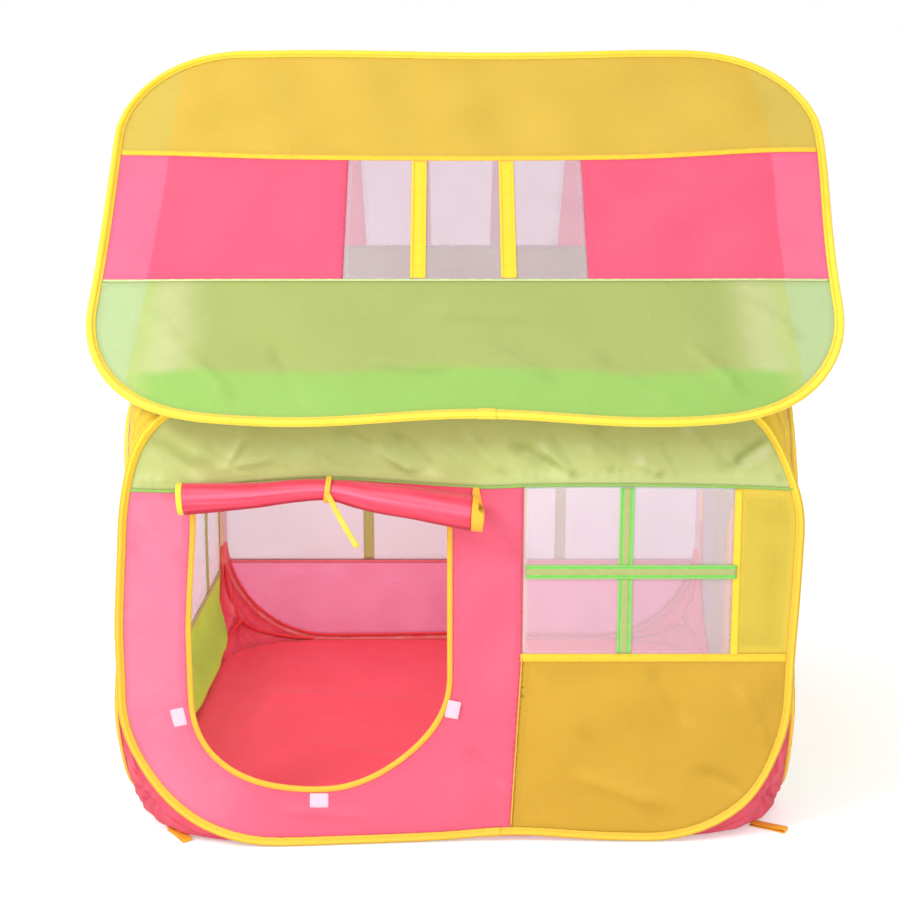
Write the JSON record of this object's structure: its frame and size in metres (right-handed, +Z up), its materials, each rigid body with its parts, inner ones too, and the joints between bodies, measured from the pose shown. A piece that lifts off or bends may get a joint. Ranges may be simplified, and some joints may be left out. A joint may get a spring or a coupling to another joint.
{
  "type": "kids play tent",
  "caption": "Pop-up play house tent: coloured cloth and clear film walls and a pitched roof on folding spring wire hoops, with a rolled-up door flap.",
  "frame": {"origin": "on the ground, under the middle of the tent", "axes": "+X to the right seen from the door, +Y from the door to the rear wall, +Z up"},
  "size_m": [1.1952, 1.1036, 1.2788],
  "materials": {
    "spring_steel": "satin",
    "sleeve_yellow": "matte",
    "binding_orange": "matte",
    "green_cloth": "matte",
    "pink_cloth": "matte",
    "clear_film": "gloss",
    "yellow_cloth": "matte",
    "olive_cloth": "matte",
    "red_cloth": "matte",
    "hook_tape": "matte",
    "webbing_orange": "matte"
  },
  "bodies": {
    "front_wall": {"front_hoop_wire": "spring_steel", "front_binding": "sleeve_yellow", "front_header": "green_cloth", "door_panel": "pink_cloth", "door_edging": "binding_orange", "front_window_film": "clear_film", "front_bar_upright": "green_cloth", "front_bar_cross": "green_cloth", "front_jamb": "yellow_cloth", "front_lower_panel": "yellow_cloth", "hook_patch_left": "hook_tape", "hook_patch_foot": "hook_tape", "hook_patch_right": "hook_tape", "floor_cloth": "red_cloth", "top_gusset_front_left": "yellow_cloth", "top_gusset_front_right": "yellow_cloth", "anchor_tab_front_left": "webbing_orange", "anchor_tab_front_right": "webbing_orange"},
    "left_wall": {"left_hoop_wire": "spring_steel", "left_binding": "sleeve_yellow", "left_window_film": "clear_film", "left_lower_panel": "olive_cloth", "left_gable": "yellow_cloth"},
    "rear_wall": {"rear_hoop_wire": "spring_steel", "rear_binding": "sleeve_yellow", "rear_window_film": "clear_film", "rear_bar_left": "olive_cloth", "rear_bar_right": "olive_cloth", "rear_lower_panel": "pink_cloth", "top_gusset_rear_left": "yellow_cloth", "top_gusset_rear_right": "yellow_cloth", "anchor_tab_rear_left": "webbing_orange", "anchor_tab_rear_right": "webbing_orange"},
    "right_wall": {"right_hoop_wire": "spring_steel", "right_binding": "sleeve_yellow", "right_wall_cloth": "olive_cloth", "right_arch_panel": "yellow_cloth", "right_gable": "yellow_cloth"},
    "door_roll": {"door_roll_cloth": "pink_cloth", "roll_tie_loop": "binding_orange"},
    "tie_tail": {"roll_tie_tail": "binding_orange"},
    "front_roof": {"front_roof_hoop_wire": "spring_steel", "front_roof_binding": "sleeve_yellow", "front_roof_ridge_band": "yellow_cloth", "front_roof_eave_band": "green_cloth", "front_roof_cheek_left": "pink_cloth", "front_roof_cheek_right": "pink_cloth", "front_roof_window_film": "clear_film", "front_roof_bar_left": "yellow_cloth", "front_roof_bar_right": "yellow_cloth"},
    "rear_roof": {"rear_roof_hoop_wire": "spring_steel", "rear_roof_binding": "sleeve_yellow", "rear_roof_ridge_band": "yellow_cloth", "rear_roof_eave_band": "green_cloth", "rear_roof_cheek_left": "pink_cloth", "rear_roof_cheek_right": "pink_cloth", "rear_roof_window_film": "clear_film", "rear_roof_bar_left": "yellow_cloth", "rear_roof_bar_right": "yellow_cloth"}
  },
  "joints": [
    {"name": "left_wall_fold", "type": "hinge", "parent": "front_wall", "child": "left_wall", "pos_m": [-0.5317, -0.48335, 0], "axis": [0, 0, -1], "range_deg": [0, 83], "stiffness_Nm_per_rad": 1, "deforming": ["floor_cloth", "top_gusset_front_left", "top_gusset_front_right"]},
    {"name": "rear_wall_fold", "type": "hinge", "parent": "left_wall", "child": "rear_wall", "pos_m": [-0.5453, 0.48335, 0], "axis": [0, 0, 1], "range_deg": [0, 83], "deforming": ["top_gusset_rear_left", "top_gusset_rear_right"]},
    {"name": "right_wall_fold", "type": "hinge", "parent": "front_wall", "child": "right_wall", "pos_m": [0.5453, -0.48335, 0], "axis": [0, 0, -1], "range_deg": [0, 83]},
    {"name": "front_roof_lift", "type": "hinge", "parent": "front_wall", "child": "front_roof", "pos_m": [0, -0.5039, 0.75936], "axis": [1, 0, 0], "range_deg": [0, 44.1]},
    {"name": "rear_roof_lift", "type": "hinge", "parent": "rear_wall", "child": "rear_roof", "pos_m": [0, 0.5039, 0.75936], "axis": [-1, 0, 0], "range_deg": [0, 44.1]},
    {"name": "door_roll_swing", "type": "hinge", "parent": "front_wall", "child": "door_roll", "pos_m": [-0.2145, -0.49, 0.597], "axis": [-1, 0, 0], "range_deg": [0, 60]},
    {"name": "tie_tail_swing", "type": "hinge", "parent": "door_roll", "child": "tie_tail", "pos_m": [-0.2145, -0.52719, 0.57952], "axis": [-1, 0, 0], "range_deg": [0, 80]}
  ],
  "couplings": [
    {"joint": "rear_wall_fold", "follows": "left_wall_fold", "ratio": 1},
    {"joint": "right_wall_fold", "follows": "left_wall_fold", "ratio": 1},
    {"joint": "front_roof_lift", "follows": "left_wall_fold", "ratio": 0.531},
    {"joint": "rear_roof_lift", "follows": "left_wall_fold", "ratio": 0.531}
  ]
}
